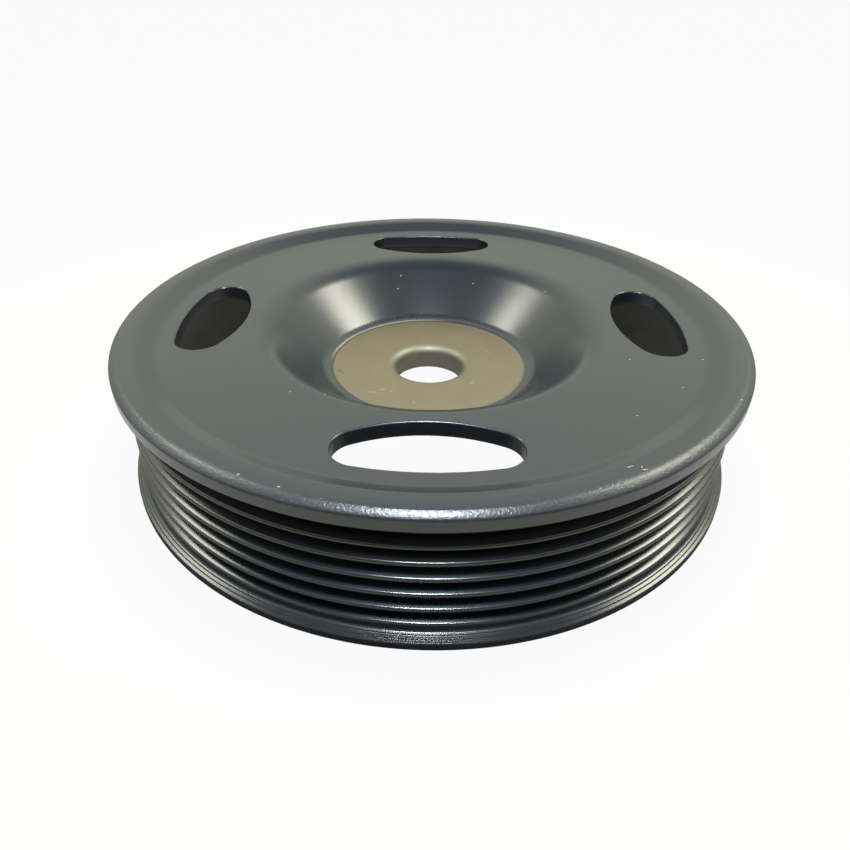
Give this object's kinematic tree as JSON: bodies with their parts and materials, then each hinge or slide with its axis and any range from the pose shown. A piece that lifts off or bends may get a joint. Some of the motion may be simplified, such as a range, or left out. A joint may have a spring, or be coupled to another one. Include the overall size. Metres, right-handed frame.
{
  "type": "belt pulley",
  "caption": "Pressed-steel belt pulley with a ribbed, flanged rim, a dished web pierced by D-shaped windows, and a plain central bore in a bare hub seat.",
  "frame": {"origin": "on the bore's axis, in the plane of the lower lip's underside that the pulley stands on", "axes": "+Z along the bore, out of the dish; +X through the middle of a window"},
  "size_m": [0.1394, 0.1394, 0.0308],
  "materials": {
    "painted_steel": "dark grey satin paint on pressed steel"
  },
  "bodies": {
    "root": {"pulley": "painted_steel"}
  },
  "joints": []
}
